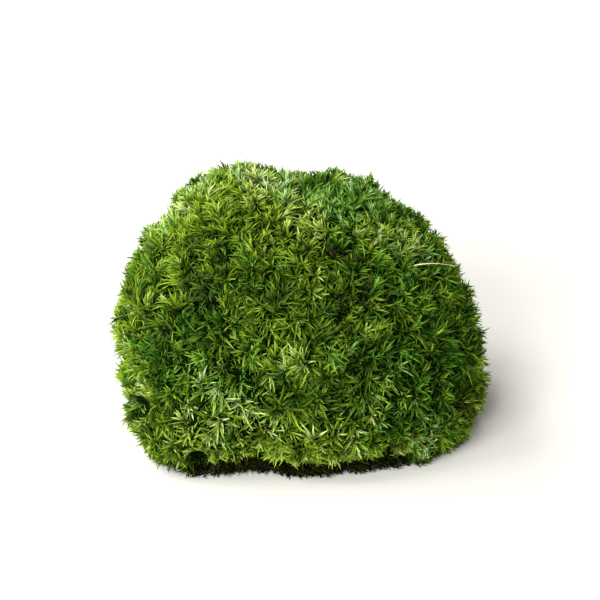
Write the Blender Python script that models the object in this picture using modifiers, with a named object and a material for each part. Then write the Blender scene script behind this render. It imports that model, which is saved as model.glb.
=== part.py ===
"""A clump of cushion moss, lifted off the ground with the humus that it grew on.

Metres, +Z up, +X to the right, and the front is towards -Y. The origin is the middle of the flat
underside, on the surface that the clump stands on.
"""

import math

import bmesh
import bpy
from mathutils import Matrix, Vector, noise
from mathutils.bvhtree import BVHTree

# Driving dimensions of the whole clump
WIDTH = 0.094
DEPTH = 0.088
HEIGHT = 0.062

# The cushion is a few swollen lobes that have grown into one another. Centres and radii are shares of
# half the width, half the depth and the height.
LOBES = {
    "left_crown": ((-0.29, 0.00, 0.42), (0.61, 0.84, 0.56)),
    "left_side": ((-0.31, -0.02, 0.33), (0.72, 0.85, 0.56)),
    "middle": ((0.00, -0.04, 0.37), (0.50, 0.88, 0.57)),
    "right_crown": ((0.16, 0.03, 0.37), (0.56, 0.82, 0.57)),
    "right_shoulder": ((0.30, 0.00, 0.20), (0.70, 0.86, 0.62)),
    "front_left_foot": ((-0.50, -0.38, 0.23), (0.47, 0.61, 0.42)),
    "front_foot": ((0.08, -0.44, 0.14), (0.66, 0.52, 0.40)),
    "front_right_foot": ((0.46, -0.35, 0.14), (0.46, 0.52, 0.35)),
    "back_crown": ((-0.06, 0.27, 0.37), (0.77, 0.64, 0.50)),
    "back_foot": ((-0.04, 0.35, 0.18), (0.87, 0.62, 0.45)),
}
LOBE_DETAIL = 4  # subdivisions of each lobe's icosphere

# How the lobes are fused and roughened
VOXEL = 0.0016
BLEND_PASSES = 16
SWELL_PITCH, SWELL_HEIGHT = 0.016, 0.0030
TUFT_PITCH, TUFT_HEIGHT = 0.0060, 0.0038
CUSHION_SHARE = 0.36  # of the fused form's triangles that the finished cushion keeps

# The cushion's rim hangs this far off the ground, so that the dark humus shows under it.
RIM_CLEARANCE = 0.0018

# The humus pad sits in a pocket in the cushion's underside.
PAD_WIDTH = 0.77 * WIDTH
PAD_DEPTH = 0.77 * DEPTH
PAD_HEIGHT = 0.0068
PAD_SEGMENTS = 72
PAD_RINGS = 3
PAD_COARSE_PITCH, PAD_COARSE_DEPTH = 0.0070, 0.0018  # its torn sides stand in and out by this
PAD_FINE_PITCH, PAD_FINE_DEPTH = 0.0030, 0.0011
PAD_TAPER = 0.0016  # how much narrower it is at its top
PAD_GAP = 0.00045  # between the pad and the pocket

# The straw lies on the right shoulder.
STRAW_LENGTH = 0.0135
STRAW_RADIUS = 0.00025
STRAW_MIDDLE = Vector((0.0310, -0.0130, 0.0412))
STRAW_HEADING = math.radians(40)  # from +X towards the back
STRAW_FALL = math.radians(17)  # below the horizontal
STRAW_BOW = 0.0006
STRAW_POINTS = 9
STRAW_GAP = 0.0003  # between the straw and the cushion at rest under it
STRAW_NUDGE = 0.00015  # the straw is lifted in steps of this until it is clear

MOSS_GREEN = (0.055, 0.110, 0.012)
HUMUS_BROWN = (0.040, 0.024, 0.012)
STRAW_TAN = (0.520, 0.430, 0.240)


def clear_scene():
    for old in list(bpy.data.objects):
        bpy.data.objects.remove(old)


def collection(name):
    made = bpy.data.collections.new(name)
    bpy.context.scene.collection.children.link(made)
    return made


def material(name, colour, roughness):
    made = bpy.data.materials.new(name)
    made.use_nodes = True
    shader = made.node_tree.nodes["Principled BSDF"]
    shader.inputs["Base Color"].default_value = (*colour, 1.0)
    shader.inputs["Roughness"].default_value = roughness
    shader.inputs["Metallic"].default_value = 0.0
    return made


def mesh_object(name, mesh, home):
    made = bpy.data.objects.new(name, mesh)
    home.objects.link(made)
    return made


def evaluated_mesh(obj):
    """A copy of the object's mesh with its modifiers applied."""
    bpy.context.view_layer.update()
    graph = bpy.context.evaluated_depsgraph_get()
    return bpy.data.meshes.new_from_object(obj.evaluated_get(graph))


def lobed_mesh():
    """The lobes as overlapping ellipsoids in one mesh."""
    half = Vector((WIDTH / 2, DEPTH / 2, HEIGHT))
    bm = bmesh.new()
    for centre, radii in LOBES.values():
        place = Matrix.Translation([c * h for c, h in zip(centre, half)])
        stretch = Matrix.Diagonal([*(r * h for r, h in zip(radii, half)), 1.0])
        bmesh.ops.create_icosphere(
            bm, subdivisions=LOBE_DETAIL, radius=1.0, matrix=place @ stretch
        )
    mesh = bpy.data.meshes.new("lobes")
    bm.to_mesh(mesh)
    bm.free()
    return mesh


def roughen(obj, name, kind, pitch, height):
    """Displaces the surface with a procedural pattern of this pitch and height."""
    pattern = bpy.data.textures.new(name, kind)
    pattern.noise_scale = pitch
    displace = obj.modifiers.new(name, "DISPLACE")
    displace.texture = pattern
    displace.texture_coords = "LOCAL"
    displace.strength = height
    displace.mid_level = 0.5
    return pattern


def cushion_form(home):
    """The whole cushion before it is cut at the ground: fused lobes with swellings and tufts."""
    form = mesh_object("cushion_form", lobed_mesh(), home)
    fuse = form.modifiers.new("fuse", "REMESH")
    fuse.mode = "VOXEL"
    fuse.voxel_size = VOXEL
    blend = form.modifiers.new("blend", "SMOOTH")
    blend.iterations = BLEND_PASSES
    roughen(form, "swellings", "CLOUDS", SWELL_PITCH, SWELL_HEIGHT)
    # Distance squared from the nearest cell centre gives round tufts with creases between them.
    tufts = roughen(form, "tufts", "VORONOI", TUFT_PITCH, -TUFT_HEIGHT)
    tufts.distance_metric = "DISTANCE_SQUARED"
    mesh = evaluated_mesh(form)
    bpy.data.objects.remove(form)
    return mesh


def fit_to_size(mesh):
    """Scales and moves the mesh to the driving dimensions, with the ground at Z = 0."""
    low = Vector([min(v.co[i] for v in mesh.vertices) for i in range(3)])
    high = Vector([max(v.co[i] for v in mesh.vertices) for i in range(3)])
    middle = (low + high) / 2
    size = high - low
    stretch = Matrix.Diagonal((WIDTH / size.x, DEPTH / size.y, HEIGHT / high.z, 1.0))
    mesh.transform(stretch @ Matrix.Translation((-middle.x, -middle.y, 0.0)))


def cut_away(obj, cutter):
    cut = obj.modifiers.new("cut_" + cutter.name, "BOOLEAN")
    cut.operation = "DIFFERENCE"
    cut.object = cutter
    cut.solver = "EXACT"


def as_cutter(obj):
    obj.hide_render = True
    obj.display_type = "WIRE"
    return obj


def ground_cutter(home):
    """A box that takes off whatever reaches below the cushion's rim."""
    bm = bmesh.new()
    bmesh.ops.create_cube(bm, size=1.0)
    side, deep = 2 * WIDTH, HEIGHT
    bmesh.ops.scale(bm, verts=bm.verts, vec=(side, side, deep))
    bmesh.ops.translate(bm, verts=bm.verts, vec=(0.0, 0.0, RIM_CLEARANCE - deep / 2))
    mesh = bpy.data.meshes.new("ground")
    bm.to_mesh(mesh)
    bm.free()
    return as_cutter(mesh_object("ground", mesh, home))


def pad_radius(angle, height):
    """Distance from the pad's axis to its torn side, at this angle and height."""
    across, deep = math.cos(angle) * PAD_WIDTH / 2, math.sin(angle) * PAD_DEPTH / 2
    ellipse = math.hypot(across, deep)
    coarse = noise.noise(Vector((across, deep, 0.0)) / PAD_COARSE_PITCH)
    fine = noise.noise(Vector((across, deep, height)) / PAD_FINE_PITCH)
    taper = PAD_TAPER * height / PAD_HEIGHT
    return ellipse + PAD_COARSE_DEPTH * coarse + PAD_FINE_DEPTH * fine - taper


def pad_mesh(name, gap, skirt):
    """The pad's form, grown by a gap at its sides and top and let down by a skirt."""
    heights = [PAD_HEIGHT * step / PAD_RINGS for step in range(PAD_RINGS + 1)]
    levels = [(height, height) for height in heights]
    levels[0] = (heights[0], heights[0] - skirt)
    levels[-1] = (heights[-1], heights[-1] + gap)
    bm = bmesh.new()
    rings = []
    for height, level in levels:
        ring = []
        for turn in range(PAD_SEGMENTS):
            angle = 2 * math.pi * turn / PAD_SEGMENTS
            radius = pad_radius(angle, height) + gap
            place = (radius * math.cos(angle), radius * math.sin(angle), level)
            ring.append(bm.verts.new(place))
        rings.append(ring)
    for lower, upper in zip(rings, rings[1:]):
        for turn in range(PAD_SEGMENTS):
            after = (turn + 1) % PAD_SEGMENTS
            bm.faces.new((lower[turn], lower[after], upper[after], upper[turn]))
    bm.faces.new(reversed(rings[0]))
    bm.faces.new(rings[-1])
    mesh = bpy.data.meshes.new(name)
    bm.to_mesh(mesh)
    bm.free()
    return mesh


def make_cushion(home, cutters):
    mesh = cushion_form(cutters)
    fit_to_size(mesh)
    cushion = mesh_object("moss_cushion", mesh, home)
    thin = cushion.modifiers.new("thin_out", "DECIMATE")
    thin.ratio = CUSHION_SHARE
    thin.use_collapse_triangulate = True
    cut_away(cushion, ground_cutter(cutters))
    pocket = pad_mesh("pad_pocket", PAD_GAP, RIM_CLEARANCE)
    cut_away(cushion, as_cutter(mesh_object("pad_pocket", pocket, cutters)))
    cushion.data.materials.append(material("moss_green", MOSS_GREEN, roughness=0.85))
    return cushion


def make_pad(home):
    pad = mesh_object("humus_pad", pad_mesh("humus_pad", 0.0, 0.0), home)
    pad.data.materials.append(material("humus_brown", HUMUS_BROWN, roughness=0.95))
    return pad


def straw_line(middle, away):
    """Points along the straw, whose middle bows away from what it lies on."""
    along = Vector((math.cos(STRAW_HEADING), math.sin(STRAW_HEADING), -math.tan(STRAW_FALL)))
    along.normalize()
    points = []
    for step in range(STRAW_POINTS):
        share = 2 * step / (STRAW_POINTS - 1) - 1
        bow = STRAW_BOW * (1 - share * share)
        points.append(middle + along * (share * STRAW_LENGTH / 2) + away * bow)
    return points


def line_on(surface, target):
    """The straw's line, moved out from the surface until all of it is just clear."""
    place, away, _, _ = surface.find_nearest(target)
    need = STRAW_RADIUS + STRAW_GAP
    while True:
        line = straw_line(place, away)
        found = [(point, surface.find_nearest(point)) for point in line]
        if all((p - hit[0]).dot(hit[1]) > 0 and hit[3] > need for p, hit in found):
            return line
        place = place + away * STRAW_NUDGE


def make_straw(home, cushion):
    graph = bpy.context.evaluated_depsgraph_get()
    surface = BVHTree.FromObject(cushion, graph)
    curve = bpy.data.curves.new("grass_straw", "CURVE")
    curve.dimensions = "3D"
    curve.bevel_depth = STRAW_RADIUS
    curve.bevel_resolution = 1
    curve.use_fill_caps = True
    spline = curve.splines.new("POLY")
    points = line_on(surface, STRAW_MIDDLE)
    spline.points.add(len(points) - 1)
    for point, place in zip(spline.points, points):
        point.co = (*place, 1.0)
    straw = bpy.data.objects.new("grass_straw", curve)
    home.objects.link(straw)
    curve.materials.append(material("straw_tan", STRAW_TAN, roughness=0.6))
    return straw


def main():
    clear_scene()
    clump = collection("moss_clump")
    cutters = collection("cutters")
    cushion = make_cushion(clump, cutters)
    make_pad(clump)
    bpy.context.view_layer.update()
    make_straw(clump, cushion)


main()
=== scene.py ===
"""A clump of cushion moss, as it looks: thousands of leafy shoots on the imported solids.

Metres, +Z up, and the front is towards -Y. Lengths written as multiples of MM are millimetres.
"""

import math

import bmesh
import bpy
import numpy as np
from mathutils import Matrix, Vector, noise
from mathutils.bvhtree import BVHTree


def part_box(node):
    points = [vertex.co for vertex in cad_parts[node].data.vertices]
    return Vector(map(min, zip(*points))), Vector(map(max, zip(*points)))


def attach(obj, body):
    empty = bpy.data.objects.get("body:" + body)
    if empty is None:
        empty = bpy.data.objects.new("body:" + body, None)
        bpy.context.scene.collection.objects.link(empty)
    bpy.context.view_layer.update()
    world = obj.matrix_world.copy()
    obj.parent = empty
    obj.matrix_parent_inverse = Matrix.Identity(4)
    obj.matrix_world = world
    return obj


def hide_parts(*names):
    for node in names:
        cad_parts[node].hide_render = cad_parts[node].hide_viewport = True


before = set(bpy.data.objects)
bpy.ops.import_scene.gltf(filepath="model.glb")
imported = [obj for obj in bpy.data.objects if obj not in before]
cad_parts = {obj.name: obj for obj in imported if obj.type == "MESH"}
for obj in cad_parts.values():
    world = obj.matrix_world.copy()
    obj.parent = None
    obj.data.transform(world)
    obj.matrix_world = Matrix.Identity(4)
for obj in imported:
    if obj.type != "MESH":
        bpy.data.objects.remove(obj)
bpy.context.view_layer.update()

MM = 0.001
GOLDEN_TURN = math.radians(137.508)
UP = np.array([0.0, 0.0, 1.0])
BODY = "root"

# Where the shoots grow. A pair of lists holds heights in mm and what goes with each.
CORE = np.array([0.0, 0.0, 14.0]) * MM  # they all point away from about here
SPACING = 2.35 * MM
TRIES = 14  # random places for each square of the spacing, of which the free ones are taken
UNDERSIDE_TOP = 9 * MM  # lower down, what faces the axis or the ground is the underside
TIP_DEPTH = 0.1 * MM  # of the highest tips, below the cushion's surface
TIP_DEPTH_SPREAD = ([15, 50], [1.5, 1.0])  # about how many mm deeper the others are
LOCAL_SHARE, CORE_SHARE = 0.45, 0.55  # of what a shoot points along
UP_SHARE_BY_HEIGHT = ([12, 42], [0.05, 0.35])
SPREAD_BY_HEIGHT = ([12, 45], [1.08, 0.85])  # how far the leaves stand off their stem
SIZE_BY_HEIGHT = ([8, 30, 55], [1.08, 1.02, 0.88])
LEAN = 0.38  # how far neighbouring shoots lean the same way
LEAN_PITCH = 7.0 * MM
STRAW_HOLLOW = (32, -13, 42), 6  # middle and radius in mm of where the dry grass lies on them
STRAW_DIP = 1.2 * MM  # how much lower they stand there

# A shoot: a short bud of upright leaves, with longer leaves spreading below it
BUD_DEPTH = 2.3 * MM  # from the shoot's tip down to where its stem ends
LEAF_STEP = 0.23 * MM  # along the stem, from one leaf to the next
LEAF_LENGTH = 4.7 * MM
LEAF_WIDTH = 0.84 * MM
UPPER_LEAVES, LOWER_LEAVES = 17, 12
RANK = [0, 4, 9, 16, 28]  # leaves counted down from the tip, for the three lists below
LENGTH_BY_RANK = [0.42, 0.70, 0.95, 1.05, 1.00]
START_BY_RANK = [3, 9, 17, 25, 34]  # degrees off the stem
BEND_BY_RANK = [10, 30, 50, 60, 50]  # degrees from a leaf's foot to its tip
FOLD = math.radians(32)  # a leaf's halves above flat
SWEEP = 0.42  # how far a leaf follows its shoot's lean, as a share of its length
CURL = 0.24  # how far one bends aside, as a share of its length
SIZE_VARIETY, TURN_VARIETY = 0.12, 0.16  # shares, and radians around the stem
START_VARIETY, BEND_VARIETY = 5, 12  # degrees
ACROSS_LEAF = {1: (0.06, 0.94), 2: (0.06, 0.5, 0.94)}  # on the palette, for each number of halves

# The upper and lower leaves of a full shoot, and the fewer ones of a shoot that hardly shows:
# which ones they are, and the places of their rows of points, from foot to tip
UPPER_RANKS = range(UPPER_LEAVES)
LOWER_RANKS = range(UPPER_LEAVES, UPPER_LEAVES + LOWER_LEAVES)
SPARSE_RANKS = range(6, 26, 2)
UPPER_STEPS = np.array([0.0, 0.36, 0.72, 1.0])
LOWER_STEPS = np.array([0.0, 0.40, 0.78, 1.0])
SPARSE_STEPS = np.array([0.0, 0.6, 1.0])

# Short old shoots deep between the others
UNDER_SPACING = 1.65 * MM
UNDER_DEPTH = (1.6 * MM, 3.2 * MM)  # of their tips
SUNKEN_DEPTH = 1.3 * MM  # more in the large gaps
SUNKEN_REACH = 1.9  # times a large gap's radius

# Gaps that the leaves curl around: all over, and the larger ones at known places
GAP_SPACING = 6.5 * MM
GAP_RADIUS = (0.55 * MM, 1.05 * MM)  # times what the next line gives
GAP_SIZE_BY_HEIGHT = ([25, 50], [1, 0.6])
LARGE_GAPS = (  # middle in mm, and radius in mm
    ((-38.6, -31.6, 14.0), 2.5),
    ((-24.3, -42.6, 5.2), 2.2),
    ((-22.0, -42.8, 19.0), 1.3),
    ((-1.0, -40.8, 20.6), 1.2),
    ((28.1, -36.9, 11.1), 1.4),
    ((10.5, -20.8, 50.5), 1.4),
    ((29.0, -14.5, 44.5), 1.2),
)
LARGE_GAP_WAY = (0.0, -0.90, 0.42)  # they open to the front
GAP_DEPTH = 3.0  # times its radius
GAP_CORE = (0.9, 2.6)  # across and deep, times its radius: leaves that cross it are left out
NEAR_GAPS = 3  # of the small ones, how many bend each shoot's leaves
RINGED_GAPS, RING_SHOOTS = 2, 11  # the largest ones, and the shoots in a ring around each
RING_REACH = 1.35  # times the gap's radius
LONGEST_REACH = 1.7 * MM  # of a leaf's point beyond the cushion's surface

# The fringe that hangs around the rim
FRINGE_SPACING = 2.3 * MM
FRINGE_ROWS = ((3.4, -0.35), (5.4, -0.15), (7.8, 0.05))  # height in mm, and rise of the shoots
FRINGE_LENGTH = 1.05  # times a leaf's usual length
FRINGE_CLEARANCE = 0.5 * MM  # its leaves end about this far off the ground
FRONT_CLEARANCE = 4.7 * MM  # more at the middle of the front
HANGING_TOP = 6 * MM  # leaves below this are lifted to that clearance,
LEAST_CLEARANCE = 0.6 * MM  # and the lowest ones at least to this
GROUND_GAP = 0.1 * MM  # under the dead ones

# The dead shoots under the fringe, nearly black: partly dead moss, partly a painted shadow under the
# fringe
SKIRT_ROWS = ((0.5, 1.2), (1.4, 2.8), (2.8, 5.0))  # lowest and highest of each row, in mm
SKIRT_SHOOTS = 420  # in each row
SKIRT_RECESS = (0.9, 3.0)  # in mm behind the rim
FRONT_FOOT = (1, -44, 2)  # in mm, the middle of where they show
FRONT_FADE = ([22, 34], [1, 0])  # distance from it in mm, and how much of them shows

# The cushion's rim
RIM_RADIUS = 44 * MM  # about
RIM_LEVEL = 3 * MM  # where the rim over the skirt is measured
RIM_TURNS = (-0.12, -0.06, 0.0, 0.06, 0.12)  # radians to both sides that notches are bridged over
BEYOND = 60  # mm from the axis, outside every solid

# Palette of leaf colours: this many columns side by side, each one leaf wide. The first are dead
# leaves, whose darkest, near-black ones also serve as painted shade in the large gaps and a
# painted shadow under the fringe; then come cool greens and then warm ones, each from dark to pale.
TONES = 48
DEAD_FROM, COOL_FROM, WARM_FROM = 0, 8, 28
LEAF_VARIETY = 0.09  # of a series, from one leaf to the next
# The lowest leaves are darker partly for their age, partly as painted shade of their depth in the
# cushion
OLD_AND_DEEP_LEAF_SHADE = 0.42  # how much darker the lowest leaves of a shoot are

rng = np.random.default_rng(41)


def unit(vectors):
    return vectors / np.linalg.norm(vectors, axis=-1, keepdims=True)


def dot(a, b):
    return (a * b).sum(-1, keepdims=True)


def blob(points, middle, radius):
    """1 at the middle of a round patch in mm, falling softly to 0 past its radius."""
    away = np.linalg.norm(points - np.array(middle) * MM, axis=1) / (radius * MM)
    return 1 / (1 + away**4)


def field(points, pitch, seed):
    """Smooth noise between about -1 and 1 at each point."""
    shift = Vector((seed, 2 * seed, 3 * seed))
    return np.array([noise.noise(Vector(p) / pitch + shift) for p in points])


def varied(count, middle, spread, low, high):
    """Random factors around the middle one, within these limits."""
    return np.clip(rng.normal(middle, spread, count), low, high)


def angles_around(count, looseness=1.0):
    """Angles all around, each one at random in this much of its own share of the turn."""
    return 2 * math.pi * (np.arange(count) + looseness * rng.random(count)) / count


def level_ways(angles):
    """The level direction at each angle."""
    return np.stack([np.cos(angles), np.sin(angles), 0 * angles], -1)


def reach_at(surface, angle, level):
    """How far a solid reaches from the axis at this angle and height, or 0 where it doesn't."""
    out = Vector((math.cos(angle), math.sin(angle), 0.0))
    hit = surface.ray_cast(out * BEYOND * MM + Vector((0, 0, level)), -out)[0]
    return hit.to_2d().length if hit else 0.0


# ---- meshes as arrays


def mesh_arrays(obj):
    """The object's vertices and triangles."""
    mesh = obj.data
    mesh.calc_loop_triangles()
    places = np.empty(3 * len(mesh.vertices))
    mesh.vertices.foreach_get("co", places)
    corners = np.empty(3 * len(mesh.loop_triangles), int)
    mesh.loop_triangles.foreach_get("vertices", corners)
    return places.reshape(-1, 3), corners.reshape(-1, 3)


def surface_of(obj):
    places, corners = mesh_arrays(obj)
    return BVHTree.FromPolygons(places.tolist(), corners.tolist())


def joined(first, second):
    """Two sets of vertices, triangles and coordinates as one."""
    second = second[0], second[1] + len(first[0]), second[2]
    return tuple(np.concatenate(pair) for pair in zip(first, second))


def repeated(triangles, per_shape, count):
    """The triangles of one shape, for as many copies of it."""
    starts = per_shape * np.arange(count)[:, None, None]
    return (starts + np.array(triangles)).reshape(-1, 3)


def strip_triangles(rows, wide, ring=False):
    """Triangles between rows of this many points. Rings are rows whose ends meet."""
    triangles = []
    for row in range(rows - 1):
        for k in range(wide if ring else wide - 1):
            p, q = wide * row + k, wide * row + (k + 1) % wide
            triangles += [(p, q, q + wide), (p, q + wide, p + wide)]
    return triangles


def tube_triangles(rings, sides):
    """Triangles of a tube of rings with this many points each, closed at both ends."""
    triangles = strip_triangles(rings, sides, ring=True)
    for end, order in ((0, -1), (sides * (rings - 1), 1)):
        triangles += [(end, end + k, end + k + 1)[::order] for k in range(1, sides - 1)]
    return triangles


def new_object(name, data):
    made = bpy.data.objects.new(name, data)
    bpy.context.scene.collection.objects.link(made)
    return made


def mesh_piece(name, arrays, material, node=None, smooth=True):
    """A piece of the scene, which stands for the node if one is named."""
    vertices, faces, uv = arrays
    mesh = bpy.data.meshes.new(name)
    mesh.vertices.add(len(vertices))
    mesh.vertices.foreach_set("co", vertices.ravel())
    mesh.loops.add(faces.size)
    mesh.loops.foreach_set("vertex_index", faces.ravel())
    mesh.polygons.add(len(faces))
    mesh.polygons.foreach_set("loop_start", np.arange(0, faces.size, 3))
    mesh.polygons.foreach_set("use_smooth", np.full(len(faces), smooth))
    if uv is not None:
        layer = mesh.uv_layers.new(name="OFBake")
        layer.data.foreach_set("uv", uv[faces.ravel()].ravel())
    mesh.update(calc_edges=True)
    mesh.materials.append(material)
    piece = new_object(name, mesh)
    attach(piece, BODY)
    if node:
        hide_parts(node)


# ---- the cushion's surface


def scatter(places, corners, spacing):
    """Random points on the triangles, no two nearer than the spacing, and their normals."""
    a, b, c = (places[corners[:, i]] for i in range(3))
    across = np.cross(b - a, c - a)
    area = np.linalg.norm(across, axis=1) / 2
    count = int(TRIES * area.sum() / spacing**2)
    pick = rng.choice(len(corners), count, p=area / area.sum())
    s, t = rng.random((2, count, 1))
    s, t = np.where(s + t > 1, (1 - s, 1 - t), (s, t))
    points = a[pick] + s * (b - a)[pick] + t * (c - a)[pick]
    normals = unit(across[pick])
    taken, kept = {}, []
    near = [(i, j, k) for i in (-1, 0, 1) for j in (-1, 0, 1) for k in (-1, 0, 1)]
    for index, point in enumerate(points):
        cell = tuple((point // spacing).astype(int))
        around = (taken.get((cell[0] + i, cell[1] + j, cell[2] + k), ()) for i, j, k in near)
        if all(((point - p) @ (point - p)) > spacing**2 for found in around for p in found):
            taken.setdefault(cell, []).append(point)
            kept.append(index)
    return points[kept], normals[kept]


def grown_surface(places, corners):
    """The triangles that shoots grow on: not the flat underside or the pocket in it."""
    a, b, c = (places[corners[:, i]] for i in range(3))
    middle = (a + b + c) / 3
    normal = unit(np.cross(b - a, c - a) + 1e-15)
    inward = (normal[:, :2] * middle[:, :2]).sum(1) < 0
    underneath = normal[:, 2] < -0.7
    low = middle[:, 2] < UNDERSIDE_TOP
    return corners[~(low & (inward | underneath))]


# ---- tones

# Patches: middle in mm, radius in mm, and how much paler (1 is the whole series) or warmer the
# shoots there are, or in a brown patch, which share of them is dead
# The broad paler patches over the crown are partly painted light falling on its top; the rest of
# these patches are the moss's own tones
PALER = (
    ((-20, -12, 57), 18, 0.10),
    ((-42, -14, 30), 9, 0.14),
    ((-29, -4, 54), 4.5, 0.34),
    ((-8, 3, 61), 9, 0.46),
    ((-27, 5, 54), 7, 0.28),
    ((-21, -33, 39), 2.5, 0.35),
    ((1, -14, 56), 5.5, 0.34),
    ((6, -17, 56), 3, 0.25),
    ((-2, -39, 31), 4, 0.30),
    ((30, -7, 45), 4, 0.30),
    ((15, -3, 57), 13, 0.26),
    ((26, -12, 47), 6, 0.18),
    ((-18, -41, 26), 7, 0.20),
    ((20, -39, 17), 3.5, 0.26),
    ((-39, -32, 19), 3.4, 0.50),
    ((-27, -42, 18), 3, 0.60),
    ((-20.5, -43.5, 15), 1.6, 0.80),
    ((-13, -41, 14), 3, 0.42),
    ((-6.5, -41, 12), 3, 0.32),
    ((3, -43, 9), 4, 0.22),
    ((14, -42, 10), 4, 0.25),
    ((31, -35, 9), 4, 0.30),
    ((-33, -40, 16), 4, -0.18),
    ((-8, -33, 42), 8, -0.10),
    ((-22, -32, 38), 10, -0.20),
    ((-11, -17, 56), 4, -0.12),
    ((5, -40, 18), 7, -0.18),
    ((-37, -9, 45), 4, -0.16),
    ((-25.7, -18, 51), 3, -0.28),
    ((-25.5, -27, 45), 4.5, -0.32),
    ((-35, -32, 29), 6, -0.34),
    ((-34, -36, 5), 6, -0.20),
    ((33, -28, 24), 17, -0.14),
    ((12, -26, 44), 7, -0.10),
)
WARMER = (
    ((-20, -12, 57), 18, 0.50),
    ((-42, -12, 26), 14, 0.35),
    ((-1, -18, 55), 6, 0.80),
    ((-2, -37, 35), 4, 0.50),
    ((0, -43, 9), 14, 0.35),
    ((27, -4, 48), 4, 0.70),
    ((-30, -36, 14), 12, 0.35),
    ((14, 0, 57), 15, -0.60),
    ((33, -28, 24), 18, -0.35),
    ((-34, -28, 27), 9, -0.50),
    ((31, -35, 9), 5, -0.60),
)
BROWN_PATCHES = (
    ((10, -22, 49), 4.0, 0.30),
    ((13, -28, 42), 5.0, 0.50),
    ((-25.5, -27, 43), 2.6, 0.45),
    ((20, 30, 38), 5.0, 0.45),
)
EVEN_PATCHES = (  # middle and radius
    ((-14, -8, 60), 20),
    ((22, -5, 54), 13),
    ((13, -26, 44), 7),
    ((38, -22, 30), 20),
    ((10, 40, 30), 30),
)


def evenness(points):
    """From 0 to 1, how much the shoots at these points are of one height and tone."""
    return np.clip(sum(blob(points, middle, radius) for middle, radius in EVEN_PATCHES), 0, 1)


def shoot_tones(points):
    """How pale and how warm the shoots at these points are, and which of them are dead."""
    pale = 0.38 + 0.14 * field(points, 15 * MM, 3) + 0.20 * field(points, 5 * MM, 7)
    warm = 0.05 + 0.45 * field(points, 13 * MM, 5)
    for middle, radius, more in PALER:
        pale += more * blob(points, middle, radius)
    for middle, radius, more in WARMER:
        warm += more * blob(points, middle, radius)
    pale += rng.normal(0, 1, len(points)) * (0.21 - 0.11 * evenness(points))
    warm += rng.normal(0, 0.25, len(points))
    dead = np.zeros(len(points), bool)
    for middle, radius, share in BROWN_PATCHES:
        dead |= rng.random(len(points)) < share * blob(points, middle, radius)
    return np.clip(pale, 0.04, 1), warm, dead


# ---- shoots


class Shoots:
    """Many shoots as arrays: where each one's tip is, where it points, and how it looks.

    The tones are how pale and how warm each one is, and whether it is dead.
    """

    def __init__(self, tips, axes, leans, sizes, spreads, tones):
        self.tips, self.axes, self.leans = tips, unit(axes), leans
        self.sizes, self.spreads = sizes, spreads
        self.pale, self.warm, self.dead = tones
        guess = np.where(np.abs(self.axes[:, 2:]) < 0.9, UP, np.array([1.0, 0.0, 0.0]))
        self.side = unit(np.cross(guess, self.axes))
        self.front = np.cross(self.axes, self.side)
        self.turns = rng.random(len(tips)) * 2 * math.pi

    def some(self, chosen):
        """Only the chosen ones."""
        part = object.__new__(Shoots)
        for name, values in vars(self).items():
            setattr(part, name, values[chosen])
        return part


def outward(points, normals):
    """The way out at each point, steadier than the normal where the surface is creased."""
    return unit(0.5 * normals + 0.5 * unit(points - CORE))


class Gaps:
    """Round gaps between the leaves: where each one is, the way it opens, and its radius."""

    def __init__(self, surface, points, normals):
        middles, large_radii = (np.array(values) * MM for values in zip(*LARGE_GAPS))
        clear = np.linalg.norm(points[:, None] - middles, axis=2).min(1) > GAP_SPACING
        points, normals = points[clear], normals[clear]
        radii = rng.uniform(*GAP_RADIUS, len(points))
        radii = radii * np.interp(points[:, 2] / MM, *GAP_SIZE_BY_HEIGHT)
        self.middles = np.concatenate([middles, points])
        self.radii = np.concatenate([large_radii, radii])
        opening = np.tile(LARGE_GAP_WAY, (len(middles), 1))
        self.axes = unit(np.concatenate([opening, outward(points, normals) + 0.3 * UP]))
        self.large, self.surface = len(middles), surface

    def clear_of(self, points, reach=1.0):
        """Which points are outside the large gaps: as far as this many times their radius."""
        away = np.linalg.norm(points[:, None] - self.middles[: self.large], axis=2)
        return (away > reach * self.radii[: self.large]).all(1)

    def part(self, vertices, tips, wide):
        """Bend leaves aside around the gaps near their shoot, and say which ones stay.

        Those that cross a gap or reach too far out don't. wide is how many points a row has.
        """
        away = np.linalg.norm(tips[:, None] - self.middles, axis=2)
        away[:, : self.large] = np.inf
        small = list(np.argsort(away, 1)[:, :NEAR_GAPS].T)
        core, deep = GAP_CORE
        whole = np.ones(vertices.shape[:2], bool)
        for which in [np.full(len(tips), i) for i in range(self.large)] + small:
            middle, axis = (values[which][:, None, None] for values in (self.middles, self.axes))
            radius = self.radii[which][:, None, None, None]
            halfway = (vertices[:, :, wide:] + vertices[:, :, :-wide]) / 2
            for points in (vertices, halfway):
                along = dot(points - middle, axis)
                far = np.linalg.norm(points - middle - along * axis, axis=-1, keepdims=True)
                whole &= ~((far < core * radius) & (along > -deep * radius)).any((2, 3))
            along = dot(vertices - middle, axis)
            off = vertices - middle - along * axis
            far = np.linalg.norm(off, axis=-1, keepdims=True) + 1e-6
            open_here = radius * np.clip(GAP_DEPTH + along / radius, 0, 1)
            vertices = vertices + off * ((far**3 + open_here**3) ** (1 / 3) / far - 1)
        whole[whole] = [self.beyond(end) < LONGEST_REACH for end in vertices[whole, -1]]
        return vertices, whole

    def beyond(self, point):
        """How far a point is outside the cushion's surface."""
        place, normal, _, distance = self.surface.find_nearest(point)
        return distance if (Vector(point) - place).dot(normal) > 0 else 0.0


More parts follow.
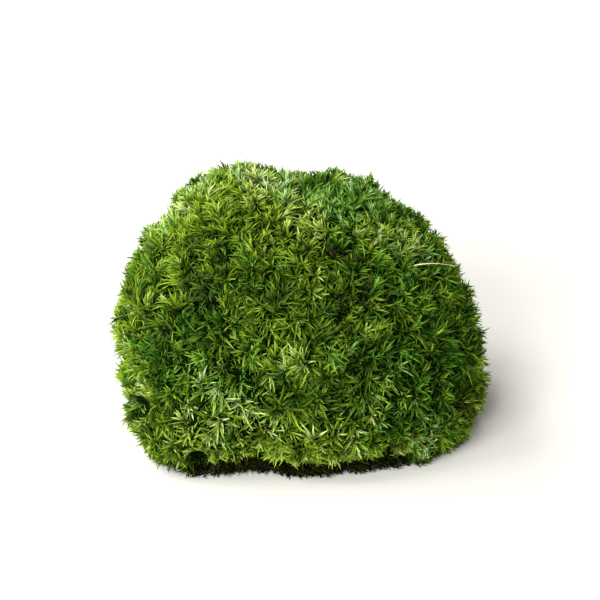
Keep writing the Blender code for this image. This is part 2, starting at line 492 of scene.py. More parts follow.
def surface_shoots(points, normals):
    """The shoots whose tips make the clump's surface."""
    away, height = unit(points - CORE), points[:, 2] / MM
    up_share = np.interp(height, *UP_SHARE_BY_HEIGHT)[:, None]
    axes = unit(LOCAL_SHARE * normals + CORE_SHARE * away + up_share * UP)
    drift = np.stack([field(points, LEAN_PITCH, seed) for seed in (11, 13, 17)], 1)
    drift = 1.5 * drift + rng.normal(0, 0.30, points.shape)
    drift -= dot(drift, axes) * axes
    axes = axes + LEAN * drift
    swell = 0.5 + 0.5 * field(points, 6 * MM, 23)
    spread = np.interp(height, *TIP_DEPTH_SPREAD) * MM * (1 - 0.45 * evenness(points))
    depth = TIP_DEPTH + spread * (0.6 * swell + rng.exponential(0.42, len(points)))
    depth += STRAW_DIP * blob(points, *STRAW_HOLLOW)
    tips = points - depth[:, None] * outward(points, normals)
    sizes = np.interp(height, *SIZE_BY_HEIGHT) * varied(len(points), 1.0, 0.14, 0.7, 1.35)
    spreads = np.interp(height, *SPREAD_BY_HEIGHT) * varied(len(points), 1.0, 0.2, 0.6, 1.5)
    return Shoots(tips, axes, drift, sizes, spreads, shoot_tones(points))


def curled_shoots(surface):
    """Short pale shoots that stand in a ring around each of the two largest gaps."""
    tips, axes = [], []
    way = unit(np.array(LARGE_GAP_WAY))
    side = unit(np.cross(UP, way))
    for middle, radius in LARGE_GAPS[:RINGED_GAPS]:
        for turn in angles_around(RING_SHOOTS, 0.7):
            out = math.cos(turn) * side + math.sin(turn) * np.cross(way, side)
            place = np.array(middle) * MM + RING_REACH * radius * MM * out
            hit, normal = (np.array(v) for v in surface.find_nearest(Vector(place))[:2])
            tips.append(hit - rng.uniform(0.2, 1.0) * MM * normal)
            axes.append(0.5 * out + 0.5 * way + 0.5 * normal)
    tips, axes = np.array(tips), np.array(axes)
    tips[:, 2] = np.maximum(tips[:, 2], 2.5 * MM)
    count = len(tips)
    tones = rng.uniform(0.45, 0.85, count), rng.normal(0.5, 0.4, count), np.zeros(count, bool)
    leans = rng.normal(0, 0.4, axes.shape)
    return Shoots(tips, axes, leans, rng.uniform(0.65, 0.85, count), np.full(count, 0.9), tones)


def under_shoots(points, normals, sunken):
    """Short dark shoots that close the gaps between the others, and black ones in the large gaps,
    painted shade there.
    """
    count = len(points)
    out = outward(points, normals)
    axes = out + rng.normal(0, 0.25, points.shape)
    depth = rng.uniform(*UNDER_DEPTH, count) + SUNKEN_DEPTH * sunken
    tips = points - depth[:, None] * out
    # Painted shade: the shoots in the large gaps are black
    pale = np.where(sunken, 0.0, rng.uniform(0.0, 0.30, count) + 0.15 * evenness(points))
    tones = pale, rng.normal(0, 0.5, count), sunken | (rng.random(count) < 0.05)
    leans = rng.normal(0, 0.4, points.shape)
    sizes, spreads = rng.uniform(0.75, 1.0, count), rng.uniform(1.0, 1.7, count)
    return Shoots(tips, axes, leans, sizes, spreads, tones)


def rim_reach(surface, angle, level):
    """How far the cushion reaches at this angle and height, with its notches bridged."""
    found = [reach_at(surface, angle + turn, level) for turn in RIM_TURNS]
    return max(found[len(found) // 2], sum(found) / len(found))


def front_share(points):
    """1 at the middle of the front rim, where the near-black dead leaves show, partly a painted
    shadow under the fringe, and 0 away from it.
    """
    away = np.linalg.norm(points - np.array(FRONT_FOOT) * MM, axis=1)
    return np.interp(away / MM, *FRONT_FADE)


def clearance(points):
    """How far off the ground the living leaves end: higher at the front, over the dead ones."""
    raised = FRONT_CLEARANCE * front_share(points)
    return FRINGE_CLEARANCE + raised * (1 + 0.6 * field(points, 1.6 * MM, 29))


def fringe_shoots(surface):
    """Longer, yellower shoots that hang out around the rim."""
    tips, axes = [], []
    around = int(2 * math.pi * RIM_RADIUS / FRINGE_SPACING)
    for height, rise in FRINGE_ROWS:
        for angle in angles_around(around):
            out = np.array([math.cos(angle), math.sin(angle), 0.0])
            floor = 0.7 * MM + clearance(RIM_RADIUS * out[None])[0]
            level = max(height * MM + rng.normal(0, 0.9 * MM), floor)
            reach = rim_reach(surface, angle, level) + rng.normal(0.0, 0.4 * MM)
            tips.append(reach * out + level * UP)
            axes.append(out + UP * (rise + rng.normal(0, 0.16)) + rng.normal(0, 0.18, 3))
    tips, axes = np.array(tips), unit(np.array(axes))
    count = len(tips)
    pale, warm, _ = shoot_tones(tips)
    tones = np.clip(pale + 0.12, 0, 1), warm + 0.35, rng.random(count) < 0.03
    leans = rng.normal(0, 0.5, (count, 3)) - 0.3 * UP
    sizes = FRINGE_LENGTH * varied(count, 0.85, 0.13, 0.6, 1.2)
    return Shoots(tips, axes, leans, sizes, varied(count, 0.95, 0.2, 0.5, 1.3), tones)


def dead_and_shadow_skirt(surface):
    """Old shoots that lie out flat under the fringe, on the ground, nearly black: partly dead moss,
    partly a painted shadow under the fringe.
    """
    tips, axes = [], []
    for lowest, highest in SKIRT_ROWS:
        for angle in angles_around(SKIRT_SHOOTS):
            out = np.array([math.cos(angle), math.sin(angle), 0.0])
            level = rng.uniform(lowest, highest) * MM
            reach = rim_reach(surface, angle, RIM_LEVEL) - rng.uniform(*SKIRT_RECESS) * MM
            tips.append(reach * out + level * UP)
            axes.append(out + rng.normal(0, 0.3, 3) * (1, 1, 0.4))
    tips, axes = np.array(tips), np.array(axes)
    count = len(tips)
    # More of them near-black towards the front: a painted shadow under the fringe there
    dead = rng.random(count) < 0.25 + 0.75 * front_share(tips)
    tones = rng.uniform(0.0, 0.4, count), rng.normal(0.3, 0.3, count), dead
    leans = rng.normal(0, 0.4, (count, 3)) * (1, 1, 0.2)
    return Shoots(tips, axes, leans, rng.uniform(0.4, 0.8, count), np.full(count, 0.8), tones)


def trimmed(arrays, surface):
    """The skirt kept back under the fringe."""
    vertices = arrays[0]
    angles = np.linspace(-math.pi, math.pi, 181)
    rim = [rim_reach(surface, angle, RIM_LEVEL) for angle in angles]
    rim = np.interp(np.arctan2(vertices[:, 1], vertices[:, 0]), angles, rim)
    rim += (0.5 * field(vertices, 1.5 * MM, 39) - 0.8) * MM
    reach = np.linalg.norm(vertices[:, :2], axis=1)
    vertices[:, :2] *= np.minimum(1, rim / reach)[:, None]
    return arrays


# ---- leaves


def leaf_columns(shoots, ranks):
    """The palette column of each of these leaves on every shoot."""
    shape = (len(shoots.tips), len(ranks), 1)
    pale = shoots.pale[:, None, None] + rng.normal(0, LEAF_VARIETY, shape)
    # Lower leaves darker: partly their age, partly painted shade of their depth
    pale = np.clip(pale - OLD_AND_DEEP_LEAF_SHADE * ranks[None, :, None] / RANK[-1], 0, 0.999)
    warm = shoots.warm[:, None, None] + rng.normal(0, 0.20, shape) > 0
    dead = shoots.dead[:, None, None] | (rng.random(shape) < 0.012)
    first = np.where(dead, DEAD_FROM, np.where(warm, WARM_FROM, COOL_FROM))
    after = np.where(dead, COOL_FROM, np.where(warm, TONES, WARM_FROM))
    return first + np.floor(pale * (after - first))


def leaf_triangles(rows, wide):
    """Triangles of a leaf with this many rows of points, and one more point at its tip."""
    end = wide * rows
    tip = [(end - wide + k, end - wide + k + 1, end) for k in range(wide - 1)]
    return strip_triangles(rows, wide) + tip


def leaf_arrays(shoots, gaps, ranks, steps, halves):
    """Leaves of these ranks on every shoot: vertices, triangles and palette coordinates.

    steps are the shares of a leaf's length at its rows, and halves is 2 for a folded leaf with a
    midrib and 1 for a flat one. The last step is the leaf's point.
    """
    ranks = np.array(ranks)
    shape = (len(shoots.tips), len(ranks), 1)

    def by_rank(values):
        return np.interp(ranks, RANK, values)[None, :, None]

    turn = shoots.turns[:, None, None] + (ranks * GOLDEN_TURN)[None, :, None]
    turn = turn + rng.normal(0, TURN_VARIETY, shape)
    axis, lean = shoots.axes[:, None], shoots.leans[:, None]
    side, front = shoots.side[:, None], shoots.front[:, None]
    spoke = np.cos(turn) * side + np.sin(turn) * front
    across = -np.sin(turn) * side + np.cos(turn) * front
    size = shoots.sizes[:, None, None]
    spread = shoots.spreads[:, None, None]
    length = LEAF_LENGTH * size * by_rank(LENGTH_BY_RANK) * rng.normal(1, SIZE_VARIETY, shape)
    start = np.radians(by_rank(START_BY_RANK) * spread + rng.normal(0, START_VARIETY, shape))
    bend = np.radians(by_rank(BEND_BY_RANK) * spread + rng.normal(0, BEND_VARIETY, shape))
    bend = np.where(np.abs(bend) < 0.02, 0.02, bend)
    down = BUD_DEPTH * size + LEAF_STEP * size * (ranks[None, :, None] + rng.normal(0, 0.3, shape))
    foot = shoots.tips[:, None] - down * axis
    curl = rng.normal(0, CURL, shape)
    young = np.minimum(1, 0.60 + 0.04 * ranks)[None, :, None]
    width = LEAF_WIDTH * size * young * rng.normal(1, SIZE_VARIETY, shape)

    rows = []
    for step in steps:
        angle = start + bend * step
        along = (np.sin(angle) - np.sin(start)) / bend
        out = (np.cos(start) - np.cos(angle)) / bend
        sweep = (SWEEP * lean + curl * across) * step**2
        middle = foot + length * (along * axis + out * spoke + sweep)
        if step == steps[-1]:
            rows.append(middle)
            break
        inner = np.sin(angle) * axis - np.cos(angle) * spoke
        half = width / 2 * (0.72 + 0.28 * math.sin(math.pi * step)) * (1 - step**2.5) ** 0.6
        edge = half * math.cos(FOLD) * across
        lift = half * math.sin(FOLD) * inner
        folded = [middle - edge + lift, middle, middle + edge + lift]
        rows += folded if halves == 2 else [middle - edge, middle + edge]
    vertices = np.stack(rows, 2)
    whole = np.ones(vertices.shape[:2], bool)
    if gaps:
        vertices, whole = gaps.part(vertices, shoots.tips, halves + 1)
    v = np.concatenate([np.repeat(steps[:-1], halves + 1), steps[-1:]])
    across_leaf = np.array(ACROSS_LEAF[halves] * (len(steps) - 1) + (0.5,))
    u = (leaf_columns(shoots, ranks) + across_leaf) / TONES
    uv = np.stack(np.broadcast_arrays(u, 0.01 + 0.98 * v), -1)
    triangles = leaf_triangles(len(steps) - 1, halves + 1)
    faces = repeated(triangles, vertices.shape[2], whole.sum())
    return vertices[whole].reshape(-1, 3), faces, uv[whole].reshape(-1, 2)


def lifted(arrays):
    """The living leaves held off the ground, with a little of them still hanging lower."""
    vertices = arrays[0]
    low = vertices[:, 2] < HANGING_TOP
    below = np.maximum(clearance(vertices[low]) - vertices[low, 2], 0)
    share = np.clip(0.70 + 0.7 * field(vertices[low], 3 * MM, 33), 0.1, 1)
    vertices[low, 2] = np.maximum(vertices[low, 2] + share * below, LEAST_CLEARANCE)
    return arrays


def full_leaves(shoots, gaps):
    """Folded leaves above and flat ones below, for shoots that show."""
    upper = leaf_arrays(shoots, gaps, UPPER_RANKS, UPPER_STEPS, 2)
    return joined(upper, leaf_arrays(shoots, gaps, LOWER_RANKS, LOWER_STEPS, 1))


def sparse_leaves(shoots, gaps=None):
    """Fewer leaves, all flat, for shoots that hardly show."""
    arrays = leaf_arrays(shoots, gaps, SPARSE_RANKS, SPARSE_STEPS, 1)
    arrays[0][:, 2] = np.maximum(arrays[0][:, 2], GROUND_GAP)
    return arrays


# ---- fibres and crumbs

LITTER_TONES = 16
CRUMB_SHAPES = 12


def fibre_arrays(paths, radii):
    """Thin three-sided strands along paths with the same number of points."""
    count, steps, _ = paths.shape
    tangents = unit(np.gradient(paths, axis=1))
    side = unit(np.cross(tangents, UP + 0.01))
    top = np.cross(side, tangents)
    taper = np.sin(math.pi * (0.12 + 0.76 * np.linspace(0, 1, steps)))[None, :, None]
    rings = []
    for turn in 2 * math.pi * (np.arange(3) + 0.25) / 3:
        out = math.cos(turn) * side + math.sin(turn) * top
        rings.append(paths + radii[:, None, None] * taper * out)
    vertices = np.stack(rings, 2)
    columns = rng.integers(0, LITTER_TONES, (count, 1, 1))
    u = (columns + np.array([0.1, 0.5, 0.9])) / LITTER_TONES
    v = np.linspace(0.01, 0.99, steps)[None, :, None]
    uv = np.stack(np.broadcast_arrays(u, v), -1)
    faces = repeated(strip_triangles(steps, 3, ring=True), 3 * steps, count)
    return vertices.reshape(-1, 3), faces, uv.reshape(-1, 2)


def crumb_arrays(points, sizes):
    """Small angular crumbs, each one a knocked-about icosphere."""
    bm = bmesh.new()
    bmesh.ops.create_icosphere(bm, subdivisions=2, radius=1.0)
    round_form = np.array([v.co for v in bm.verts])
    triangles = [[v.index for v in face.verts] for face in bm.faces]
    bm.free()
    count = len(points)
    lumps = np.stack([field(round_form + 7 * i, 0.9, 2) for i in range(CRUMB_SHAPES)])
    form = round_form * (1 + 1.1 * lumps[rng.integers(0, CRUMB_SHAPES, count)][:, :, None])
    stretch = rng.uniform(0.35, 1.3, (count, 1, 3))
    vertices = points[:, None] + sizes[:, None, None] / 2 * stretch * form
    columns = rng.integers(0, LITTER_TONES, (count, 1))
    u = (columns + 0.5 + 0.42 * round_form[:, 0]) / LITTER_TONES
    v = 0.5 + 0.49 * round_form[:, 2]
    uv = np.stack(np.broadcast_arrays(u, v), -1)
    return vertices.reshape(-1, 3), repeated(triangles, len(round_form), count), uv.reshape(-1, 2)


# ---- materials


def new_material(name):
    """A material, its node tree and its shader."""
    material = bpy.data.materials.new(name)
    material.use_nodes = True
    tree = material.node_tree
    return material, tree, tree.nodes["Principled BSDF"]


def wired(node, inputs):
    """The node with these inputs: other nodes' outputs are linked, and values are set."""
    for name, value in inputs.items():
        if isinstance(value, bpy.types.NodeSocket):
            node.id_data.links.new(value, node.inputs[name])
        else:
            node.inputs[name].default_value = value
    return node


def new_node(tree, kind, inputs):
    """A new node with these inputs, by the name of its kind after ShaderNode."""
    return wired(tree.nodes.new("ShaderNode" + kind), inputs)


def ramp(tree, fac, stops):
    """A colour ramp. A stop is a place and the colour there."""
    node = new_node(tree, "ValToRGB", {"Fac": fac})
    first, last = node.color_ramp.elements
    first.position, last.position = stops[0][0], stops[-1][0]
    first.color, last.color = (*stops[0][1], 1), (*stops[-1][1], 1)
    for place, colour in stops[1:-1]:
        node.color_ramp.elements.new(place).color = (*colour, 1)
    return node.outputs["Color"]


def greys(tree, fac, *stops):
    """A ramp of greys. A stop is a place and how bright it is there."""
    return ramp(tree, fac, [(place, (value, value, value)) for place, value in stops])


def math_node(tree, operation, *values):
    node = new_node(tree, "Math", dict(enumerate(values)))
    node.operation = operation
    return node.outputs["Value"]


def mixed(tree, first, second, factor=1.0, kind="MULTIPLY"):
    """The two colours multiplied, or mixed in another way."""
    node = new_node(tree, "MixRGB", {"Fac": factor, "Color1": first, "Color2": second})
    node.blend_type = kind
    return node.outputs["Color"]


def stretched_noise(tree, vector, scale, detail=2.0):
    """Noise at these repeats along each axis of the coordinates."""
    stretched = new_node(tree, "Mapping", {"Scale": scale, "Vector": vector}).outputs["Vector"]
    inputs = {"Scale": 1.0, "Detail": detail, "Vector": stretched}
    return new_node(tree, "TexNoise", inputs).outputs["Fac"]


def bumps(tree, height, strength, distance):
    """Normals of a surface with bumps of this height."""
    inputs = {"Strength": strength, "Distance": distance, "Height": height}
    return new_node(tree, "Bump", inputs).outputs["Normal"]


def palette_coordinates(tree, columns):
    """The map's own vector, its column as a share, and the places across the column and up it."""
    where = tree.nodes.new("ShaderNodeUVMap")
    where.uv_map = "OFBake"
    split = new_node(tree, "SeparateXYZ", {"Vector": where.outputs["UV"]})
    repeats = math_node(tree, "MULTIPLY", split.outputs["X"], columns)
    tone = math_node(tree, "DIVIDE", math_node(tree, "FLOOR", repeats), columns)
    across = math_node(tree, "FRACT", repeats)
    return where.outputs["UV"], tone, across, split.outputs["Y"]


# Stops of the leaf colours, in the palette's order
DEAD_END, COOL_START = (COOL_FROM - 1) / TONES, COOL_FROM / TONES
COOL_END, WARM_START = (WARM_FROM - 1) / TONES, WARM_FROM / TONES
COOL_MIDDLE, WARM_MIDDLE = (COOL_START + COOL_END) / 2, (WARM_START + 1) / 2
# Leaf feet are dark partly in their own colour, partly as painted shade deep among the shoots
LEAF_FEET = (
    (0.0, (0.003, 0.003, 0.0004)),
    (DEAD_END, (0.020, 0.028, 0.002)),
    (COOL_START, (0.001, 0.008, 0.0001)),
    (COOL_END, (0.018, 0.052, 0.002)),
    (WARM_START, (0.003, 0.012, 0.0001)),
    (1.0, (0.050, 0.085, 0.003)),
)
# The palest, bluer stops are partly the leaves' own pale tips, partly a painted sheen
LEAF_TIPS = (
    (0.0, (0.006, 0.008, 0.001)),
    (DEAD_END, (0.120, 0.165, 0.024)),
    (COOL_START, (0.012, 0.062, 0.002)),
    (COOL_MIDDLE, (0.145, 0.340, 0.030)),
    (COOL_END, (0.500, 0.720, 0.330)),
    (WARM_START, (0.045, 0.105, 0.002)),
    (WARM_MIDDLE, (0.310, 0.475, 0.030)),
    (1.0, (0.760, 0.850, 0.360)),
)
THROUGH_TINT, THROUGH_SHARE = (1.0, 1.08, 0.65, 1.0), 0.28  # of the light that comes through a leaf

# Colours of the other materials, dark and light
# Near-black thatch: partly its own dark stems and old leaves, partly painted shade deep in the
# cushion
THATCH_AND_SHADE_COLOURS = (0.0004, 0.002, 0.0001), (0.003, 0.009, 0.0003)
HUMUS_COLOURS = (0.010, 0.006, 0.003), (0.075, 0.042, 0.018)
LITTER_COLOURS = (0.007, 0.006, 0.001), (0.058, 0.046, 0.014)
CAUGHT_COLOURS = (0.003, 0.004, 0.0005), (0.035, 0.042, 0.004)
STRAW_COLOUR = (0.60, 0.62, 0.32)


def leaf_material():
    """Reads the palette map: across it the tones, each one leaf wide, and up it foot to tip."""
    material, tree, shader = new_material("moss_leaves")
    vector, tone, across, along = palette_coordinates(tree, TONES)
    off_rib = math_node(tree, "ABSOLUTE", math_node(tree, "SUBTRACT", across, 0.5))
    # Darker towards each leaf's foot: partly the leaf's own colour, partly painted shade among the
    # shoots
    climb = greys(tree, along, (0.15, 0.0), (0.50, 0.45), (0.95, 1.0))
    colour = mixed(tree, ramp(tree, tone, LEAF_FEET), ramp(tree, tone, LEAF_TIPS), climb, "MIX")
    speckle = stretched_noise(tree, vector, (190.0, 9.0, 1.0))
    colour = mixed(tree, colour, greys(tree, speckle, (0.30, 0.62), (0.70, 1.25)))
    rib = greys(tree, off_rib, (0.00, 1.25), (0.10, 0.92), (0.40, 1.0), (0.50, 1.2))
    colour = mixed(tree, colour, rib)
    relief = math_node(tree, "ADD", speckle, off_rib)
    wired(shader, {
        "Base Color": colour,
        "Roughness": greys(tree, speckle, (0.25, 0.45), (0.75, 0.72)),
        "Specular IOR Level": 0.08,
        "Specular Tint": (1.0, 1.0, 0.6, 1.0),
        "Normal": bumps(tree, relief, 0.35, 0.1 * MM),
    })
    tinted = mixed(tree, colour, THROUGH_TINT)
    through = new_node(tree, "BsdfTranslucent", {"Color": tinted}).outputs["BSDF"]
    inputs = {0: THROUGH_SHARE, 1: shader.outputs["BSDF"], 2: through}
    both = new_node(tree, "MixShader", inputs).outputs["Shader"]
    wired(tree.nodes["Material Output"], {"Surface": both})
    return material


def earthy_material(name, dark, light, scale):
    """Dark crumbly matter, by noise of this many repeats a metre."""
    material, tree, shader = new_material(name)
    where = tree.nodes.new("ShaderNodeTexCoord").outputs["Object"]
    grain = stretched_noise(tree, where, (scale, scale, scale), 6.0)
    wired(shader, {
        "Base Color": ramp(tree, grain, [(0.32, dark), (0.68, light)]),
        "Roughness": greys(tree, grain, (0.3, 0.97), (0.7, 0.80)),
        "Specular IOR Level": 0.03,
        "Normal": bumps(tree, grain, 0.8, 0.3 * MM),
    })
    return material


def strand_material(name, columns, dark, light, roughness):
    """Dry strands and crumbs: a tone for each column of the map, and streaks along it."""
    material, tree, shader = new_material(name)
    vector, tone = palette_coordinates(tree, columns)[:2]
    streak = stretched_noise(tree, vector, (6.0 * columns, 5.0, 1.0), 4.0)
    colour = ramp(tree, tone, [(0.0, dark), (1.0, light)])
    wired(shader, {
        "Base Color": mixed(tree, colour, greys(tree, streak, (0.3, 0.55), (0.7, 1.3))),
        "Roughness": greys(tree, streak, (0.3, roughness), (0.7, roughness - 0.15)),
        "Specular IOR Level": 0.06,
        "Normal": bumps(tree, streak, 0.5, 0.08 * MM),
    })
    return material


# ---- under and between the shoots

THATCH_DEPTH = 4.4 * MM  # below the cushion's surface
THATCH_FOOT = 2.2 * MM  # off the ground
HOLLOW_DEPTH = 1.4 * MM  # how much deeper the thatch is under the large gaps
HOLLOW_REACH = 1.8  # times a large gap's radius


def subdivided(places, corners):
    """Each triangle cut into four at the middles of its edges."""
    edges = np.concatenate([corners[:, [0, 1]], corners[:, [1, 2]], corners[:, [2, 0]]])
    ends, which = np.unique(np.sort(edges, 1), axis=0, return_inverse=True)
    a, b, c = corners.T
    ab, bc, ca = len(places) + which.reshape(3, -1)
    places = np.concatenate([places, places[ends].mean(1)])
    cut = [np.stack(t, 1) for t in ((a, ab, ca), (ab, b, bc), (ca, bc, c), (ab, bc, ca))]
    return places, np.concatenate(cut)


def thatch_and_shade_piece(places, corners, material):
    """The near-black mass under the shoots that shows between them: partly stems and old leaves,
    partly painted shade of the cushion's inside.
    """
    places, corners = subdivided(places, corners)
    away = places - CORE
    far = np.linalg.norm(away, axis=1, keepdims=True)
    rough = (0.8 * field(places, 3 * MM, 31) + 1.0 * field(places, 1.1 * MM, 37))[:, None] * MM
    hollow = sum(blob(places, middle, HOLLOW_REACH * radius) for middle, radius in LARGE_GAPS)
    hollow = np.clip(hollow, 0, 1)[:, None]
    rough = (1 - hollow) * rough - hollow * HOLLOW_DEPTH
    shrunk = CORE + away * np.maximum(far - THATCH_DEPTH + rough, 4 * MM) / far
    shrunk[:, 2] = np.maximum(shrunk[:, 2], THATCH_FOOT)
    mesh_piece("moss_thatch_and_shade", (shrunk, corners, None), material, "moss_cushion")


MAT_TURNS = 260  # points of each ring
MAT_RINGS, MAT_SIDE_ROWS = 34, 9  # on its underside and up its side
MAT_SHARES = (0.02, 0.985)  # of its reach, for its first ring and the last one underneath
MAT_PIT_DEPTH = 1.1 * MM
MAT_SIDE_FOOT = 0.5 * MM  # off the ground
MAT_SIDE_ROUGHNESS = 0.8 * MM
MAT_TAPER = 1.6 * MM  # how much further in its top is
PAD_LEVEL = 1 * MM  # where the pad's reach is measured
FIBRES, FIBRE_POINTS = 900, 8
CRUMBS = 700


def pad_reach(surface, angles):
    """How far the humus pad reaches near the ground, in each direction."""
    return np.array([reach_at(surface, angle, PAD_LEVEL) for angle in angles])


def pit_height(points):
    """How far the mat's underside is off the ground: most of it lies flat."""
    coarse = field(points, 6 * MM, 41)
    fine = field(points, 1.7 * MM, 43)
    return MAT_PIT_DEPTH * np.clip(0.8 * coarse + 0.7 * fine, 0, 1)


def mat_arrays(surface, top):
    """The torn humus pad: a pitted underside, a ragged side and a plain top."""
    angles = 2 * math.pi * np.arange(MAT_TURNS) / MAT_TURNS
    circle = level_ways(angles)
    reach = pad_reach(surface, angles)[:, None]
    rows = []
    for share in np.linspace(*MAT_SHARES, MAT_RINGS):
        ring = circle * reach * share
        ring[:, 2] = pit_height(ring)
        rows.append(ring)
    for level in np.linspace(MAT_SIDE_FOOT, top, MAT_SIDE_ROWS):
        ring = circle * reach + UP * level
        ragged = field(ring, 2.2 * MM, 47) + 0.6 * field(ring, 0.9 * MM, 53)
        lean = MAT_TAPER * level / top
        ring[:, :2] -= circle[:, :2] * (MAT_SIDE_ROUGHNESS * (0.8 + 0.7 * ragged) + lean)[:, None]
        rows.append(ring)
    rows.append(circle * reach * MAT_SHARES[0] + UP * top)
    return np.concatenate(rows), np.array(tube_triangles(len(rows), MAT_TURNS)), None


def wandering_paths(starts, headings, steps, stride, wander):
    """Paths that turn a little at every step, level with the ground."""
    turns = np.cumsum(rng.normal(0, wander, (len(starts), steps)), 1) + headings[:, None]
    return starts[:, None] + np.cumsum(stride[:, None, None] * level_ways(turns), 1)


def root_fibres(surface):
    """Rhizoids and dead stems, matted on the underside and sticking out at the side."""
    angles = rng.random(FIBRES) * 2 * math.pi
    flat = rng.random(FIBRES) < 0.6
    share = np.where(flat, np.sqrt(rng.random(FIBRES)) * 0.92, 0.97)
    starts = level_ways(angles) * (pad_reach(surface, angles) * share)[:, None]
    headings = angles + np.where(flat, rng.uniform(-3, 3, FIBRES), rng.normal(0, 0.9, FIBRES))
    stride = np.where(flat, rng.uniform(0.5, 1.3, FIBRES), rng.uniform(0.25, 0.55, FIBRES)) * MM
    paths = wandering_paths(starts, headings, FIBRE_POINTS, stride, 0.28)
    radii = rng.uniform(0.06, 0.16, FIBRES) * MM
    level = rng.uniform(0.3, 1.6, (FIBRES, 1)) * MM
    level = level + rng.normal(0, 0.12 * MM, (FIBRES, FIBRE_POINTS)).cumsum(1)
    ground = pit_height(paths.reshape(-1, 3)).reshape(level.shape)
    paths[:, :, 2] = np.where(flat[:, None], ground + 0.05 * MM, level)
    paths[:, :, 2] = np.clip(paths[:, :, 2], radii[:, None], 1.9 * MM)
    return fibre_arrays(paths, radii)


def humus_crumbs(surface):
    """Crumbs of peaty soil on the mat's underside and its side."""
    angles = rng.random(CRUMBS) * 2 * math.pi
    under = rng.random(CRUMBS) < 0.55
    share = np.where(under, np.sqrt(rng.random(CRUMBS)) * 0.95, rng.uniform(0.96, 1.03, CRUMBS))
    sizes = rng.uniform(0.4, 1.5, CRUMBS) ** 1.3 * MM
    points = level_ways(angles) * (pad_reach(surface, angles) * share)[:, None]
    points[:, 2] = np.where(under, pit_height(points), rng.uniform(0.3, 1.9, CRUMBS) * MM)
    arrays = crumb_arrays(points, sizes)
    arrays[0][:, 2] = np.clip(arrays[0][:, 2], 0.0, 2.6 * MM)
    return arrays


def caught_litter(surface):
    """Dark crumbs between the shoots of the brown patches."""
    points = []
    for middle, radius, _ in BROWN_PATCHES:
        for _ in range(int(3 * radius)):
            place = np.array(middle) + rng.normal(0, 0.45 * radius, 3)
            hit, normal = surface.find_nearest(Vector(place * MM))[:2]
            points.append(np.array(hit) - np.array(normal) * rng.uniform(1.0, 2.6) * MM)
    return crumb_arrays(np.array(points), rng.uniform(0.4, 1.0, len(points)) * MM)


# ---- the dry grass

GRASS_WIDTH = 0.55 * MM
GRASS_THICKNESS = 0.05 * MM
GRASS_FOLD = 0.45  # how far its edges are above its rib, as a share of half its width
GRASS_TWIST = 0.5  # radians to each end
GRASS_STEPS = 25


def grass_piece(node, material):
    """A narrow folded blade along the middle line of its solid."""
    places, _ = mesh_arrays(node)
    middle = places.mean(0)
    along = np.linalg.svd(places - middle, full_matrices=False)[2][0]
    along = along * np.sign(along[0])
    reach = (places - middle) @ along
    bow = np.polynomial.Polynomial.fit(reach, places[:, 2], 2)
    shares = np.linspace(-1, 1, GRASS_STEPS)
    line = middle + along * (shares * reach.max())[:, None]
    line[:, 2] = bow(shares * reach.max())
    side = unit(np.cross(along, UP))
    twist = GRASS_TWIST * shares[:, None]
    across = np.cos(twist) * side + np.sin(twist) * np.cross(side, along)
    lift = np.cross(across, along)
    half = GRASS_WIDTH / 2 * np.sqrt(np.clip(1.02 - shares**2, 0, 1))[:, None]
    half = half * (0.8 - 0.2 * shares[:, None])
    fold = GRASS_FOLD * half * lift
    below = [line - half * across + fold, line, line + half * across + fold]
    above = [row + GRASS_THICKNESS * lift for row in reversed(below)]
    vertices = np.stack(below + above, 1)
    u = np.array([0.05, 0.25, 0.45, 0.55, 0.75, 0.95])[None]
    uv = np.stack(np.broadcast_arrays(u, 0.01 + 0.49 * (shares[:, None] + 1)), -1)
    triangles = np.array(tube_triangles(GRASS_STEPS, 6))
    arrays = vertices.reshape(-1, 3), triangles, uv.reshape(-1, 2)
    mesh_piece("dry_grass", arrays, material, "grass_straw")


# ---- camera, light and floor

VIEW_ELEVATION = math.radians(25)
VIEW_DISTANCE = 1.1
VIEW_WIDTH = 0.145  # of what the picture shows at the clump
LOOK_AT = Vector((0.0, 0.0, 0.0275))

LIGHTS = (  # name, place, power and size
    ("key", (-0.80, 0.10, 0.95), 13.0, 0.7),
    ("rim", (-0.60, 0.95, 0.60), 15.0, 0.6),
    ("front", (-0.52, -1.0, 0.50), 38.0, 0.8),
)
SKY_COLOUR, SKY_STRENGTH = (1.0, 0.985, 0.95, 1.0), 0.68

# The floor is painted darker under the clump, a painted shade around it, so that its soft shadow
# shows. Distances and the colours there
FLOOR_COLOURS_AND_PAINTED_SHADE = [(0.10, (0.53, 0.519, 0.485)), (0.45, (0.95, 0.93, 0.87))]
FLOOR_SIZE = 8.0


def set_camera():
    data = bpy.data.cameras.new("camera")
    data.lens = data.sensor_width * VIEW_DISTANCE / VIEW_WIDTH
    camera = new_object("camera", data)
    back = Vector((0.0, -math.cos(VIEW_ELEVATION), math.sin(VIEW_ELEVATION)))
    camera.location = LOOK_AT + back * VIEW_DISTANCE
    camera.rotation_euler = back.to_track_quat("Z", "Y").to_euler()
    bpy.context.scene.camera = camera


def add_light(name, place, power, size):
    data = bpy.data.lights.new(name, "AREA")
    data.energy, data.size = power, size
    light = new_object(name, data)
    light.location = place
    light.rotation_euler = (Vector(place) - LOOK_AT).to_track_quat("Z", "Y").to_euler()


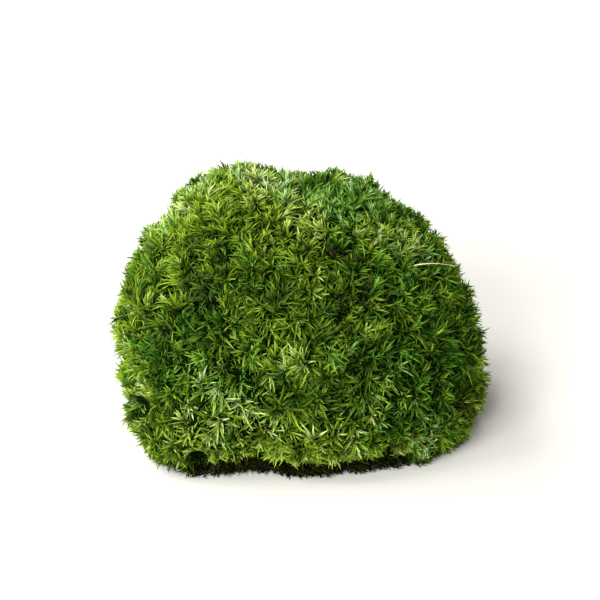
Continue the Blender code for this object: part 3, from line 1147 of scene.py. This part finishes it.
def set_studio():
    world = bpy.data.worlds.new("studio")
    world.use_nodes = True
    tree = world.node_tree
    wired(tree.nodes["Background"], {"Color": SKY_COLOUR, "Strength": SKY_STRENGTH})
    bpy.context.scene.world = world
    for light in LIGHTS:
        add_light(*light)
    bpy.ops.mesh.primitive_plane_add(size=FLOOR_SIZE)
    floor = bpy.context.object
    floor.name = "floor"
    material, tree, shader = new_material("floor")
    where = tree.nodes.new("ShaderNodeTexCoord").outputs["Object"]
    away = new_node(tree, "VectorMath", {0: where})
    away.operation = "LENGTH"
    # Painted shade: the floor's colour is darker near the clump
    colour = ramp(tree, away.outputs["Value"], FLOOR_COLOURS_AND_PAINTED_SHADE)
    wired(shader, {"Base Color": colour, "Roughness": 0.9})
    floor.data.materials.append(material)
    settings = bpy.context.scene.view_settings
    settings.view_transform, settings.look = "Standard", "None"


# ---- putting it together

LEFT_OF, BACK_OF, CROWN_OVER = -2, 12, 36  # x, y and height in mm where the regions meet


def regions(tips):
    """Which piece each shoot belongs to."""
    x, y, z = (tips / MM).T
    left, back, crown = x < LEFT_OF, y > BACK_OF, z > CROWN_OVER
    top, foot = crown & ~back, ~crown & ~back
    return {
        "left_crown_shoots": top & left,
        "right_crown_shoots": top & ~left,
        "front_left_shoots": foot & left,
        "front_right_shoots": foot & ~left,
        "back_left_shoots": left & back,
        "back_right_shoots": ~left & back,
    }


def make_moss(places, corners, surface):
    """All the leafy pieces, on a cushion with these vertices and triangles."""
    leaves = leaf_material()

    def moss_piece(name, arrays):
        mesh_piece(name, arrays, leaves, "moss_cushion")

    grown = grown_surface(places, corners)
    gaps = Gaps(surface, *scatter(places, grown, GAP_SPACING))
    points, normals = scatter(places, grown, SPACING)
    clear = gaps.clear_of(points)
    shoots = surface_shoots(points[clear], normals[clear])
    for name, chosen in regions(shoots.tips).items():
        moss_piece(name, lifted(full_leaves(shoots.some(chosen), gaps)))
    moss_piece("curled_shoots", lifted(full_leaves(curled_shoots(surface), gaps)))
    fringe = fringe_shoots(surface)
    fringe = fringe.some(gaps.clear_of(fringe.tips))
    moss_piece("fringe_shoots", lifted(full_leaves(fringe, gaps)))
    points, normals = scatter(places, grown, UNDER_SPACING)
    clear = gaps.clear_of(points, SUNKEN_REACH)
    under = under_shoots(points, normals, ~clear)
    under = joined(sparse_leaves(under.some(clear), gaps), sparse_leaves(under.some(~clear)))
    moss_piece("under_shoots", lifted(under))
    moss_piece("dead_and_shadow_skirt", trimmed(sparse_leaves(dead_and_shadow_skirt(surface)), surface))


def make_humus(node):
    """The torn mat under the clump, with its fibres and crumbs."""
    surface = surface_of(node)
    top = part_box("humus_pad")[1][2]
    earth = earthy_material("humus", *HUMUS_COLOURS, 520.0)
    litter = strand_material("litter", LITTER_TONES, *LITTER_COLOURS, 0.95)
    mesh_piece("humus_mat", mat_arrays(surface, top), earth, "humus_pad", smooth=False)
    mesh_piece("root_fibres", root_fibres(surface), litter)
    mesh_piece("humus_crumbs", humus_crumbs(surface), litter, smooth=False)


def main():
    set_camera()
    set_studio()
    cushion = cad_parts["moss_cushion"]
    places, corners = mesh_arrays(cushion)
    surface = surface_of(cushion)
    make_moss(places, corners, surface)
    thatch_and_shade_piece(places, corners, earthy_material("moss_thatch_and_shade", *THATCH_AND_SHADE_COLOURS, 900.0))
    make_humus(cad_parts["humus_pad"])
    caught = strand_material("caught", LITTER_TONES, *CAUGHT_COLOURS, 0.95)
    mesh_piece("caught_litter", caught_litter(surface), caught, smooth=False)
    straw = strand_material("straw", 1, STRAW_COLOUR, STRAW_COLOUR, 0.7)
    grass_piece(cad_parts["grass_straw"], straw)


main()
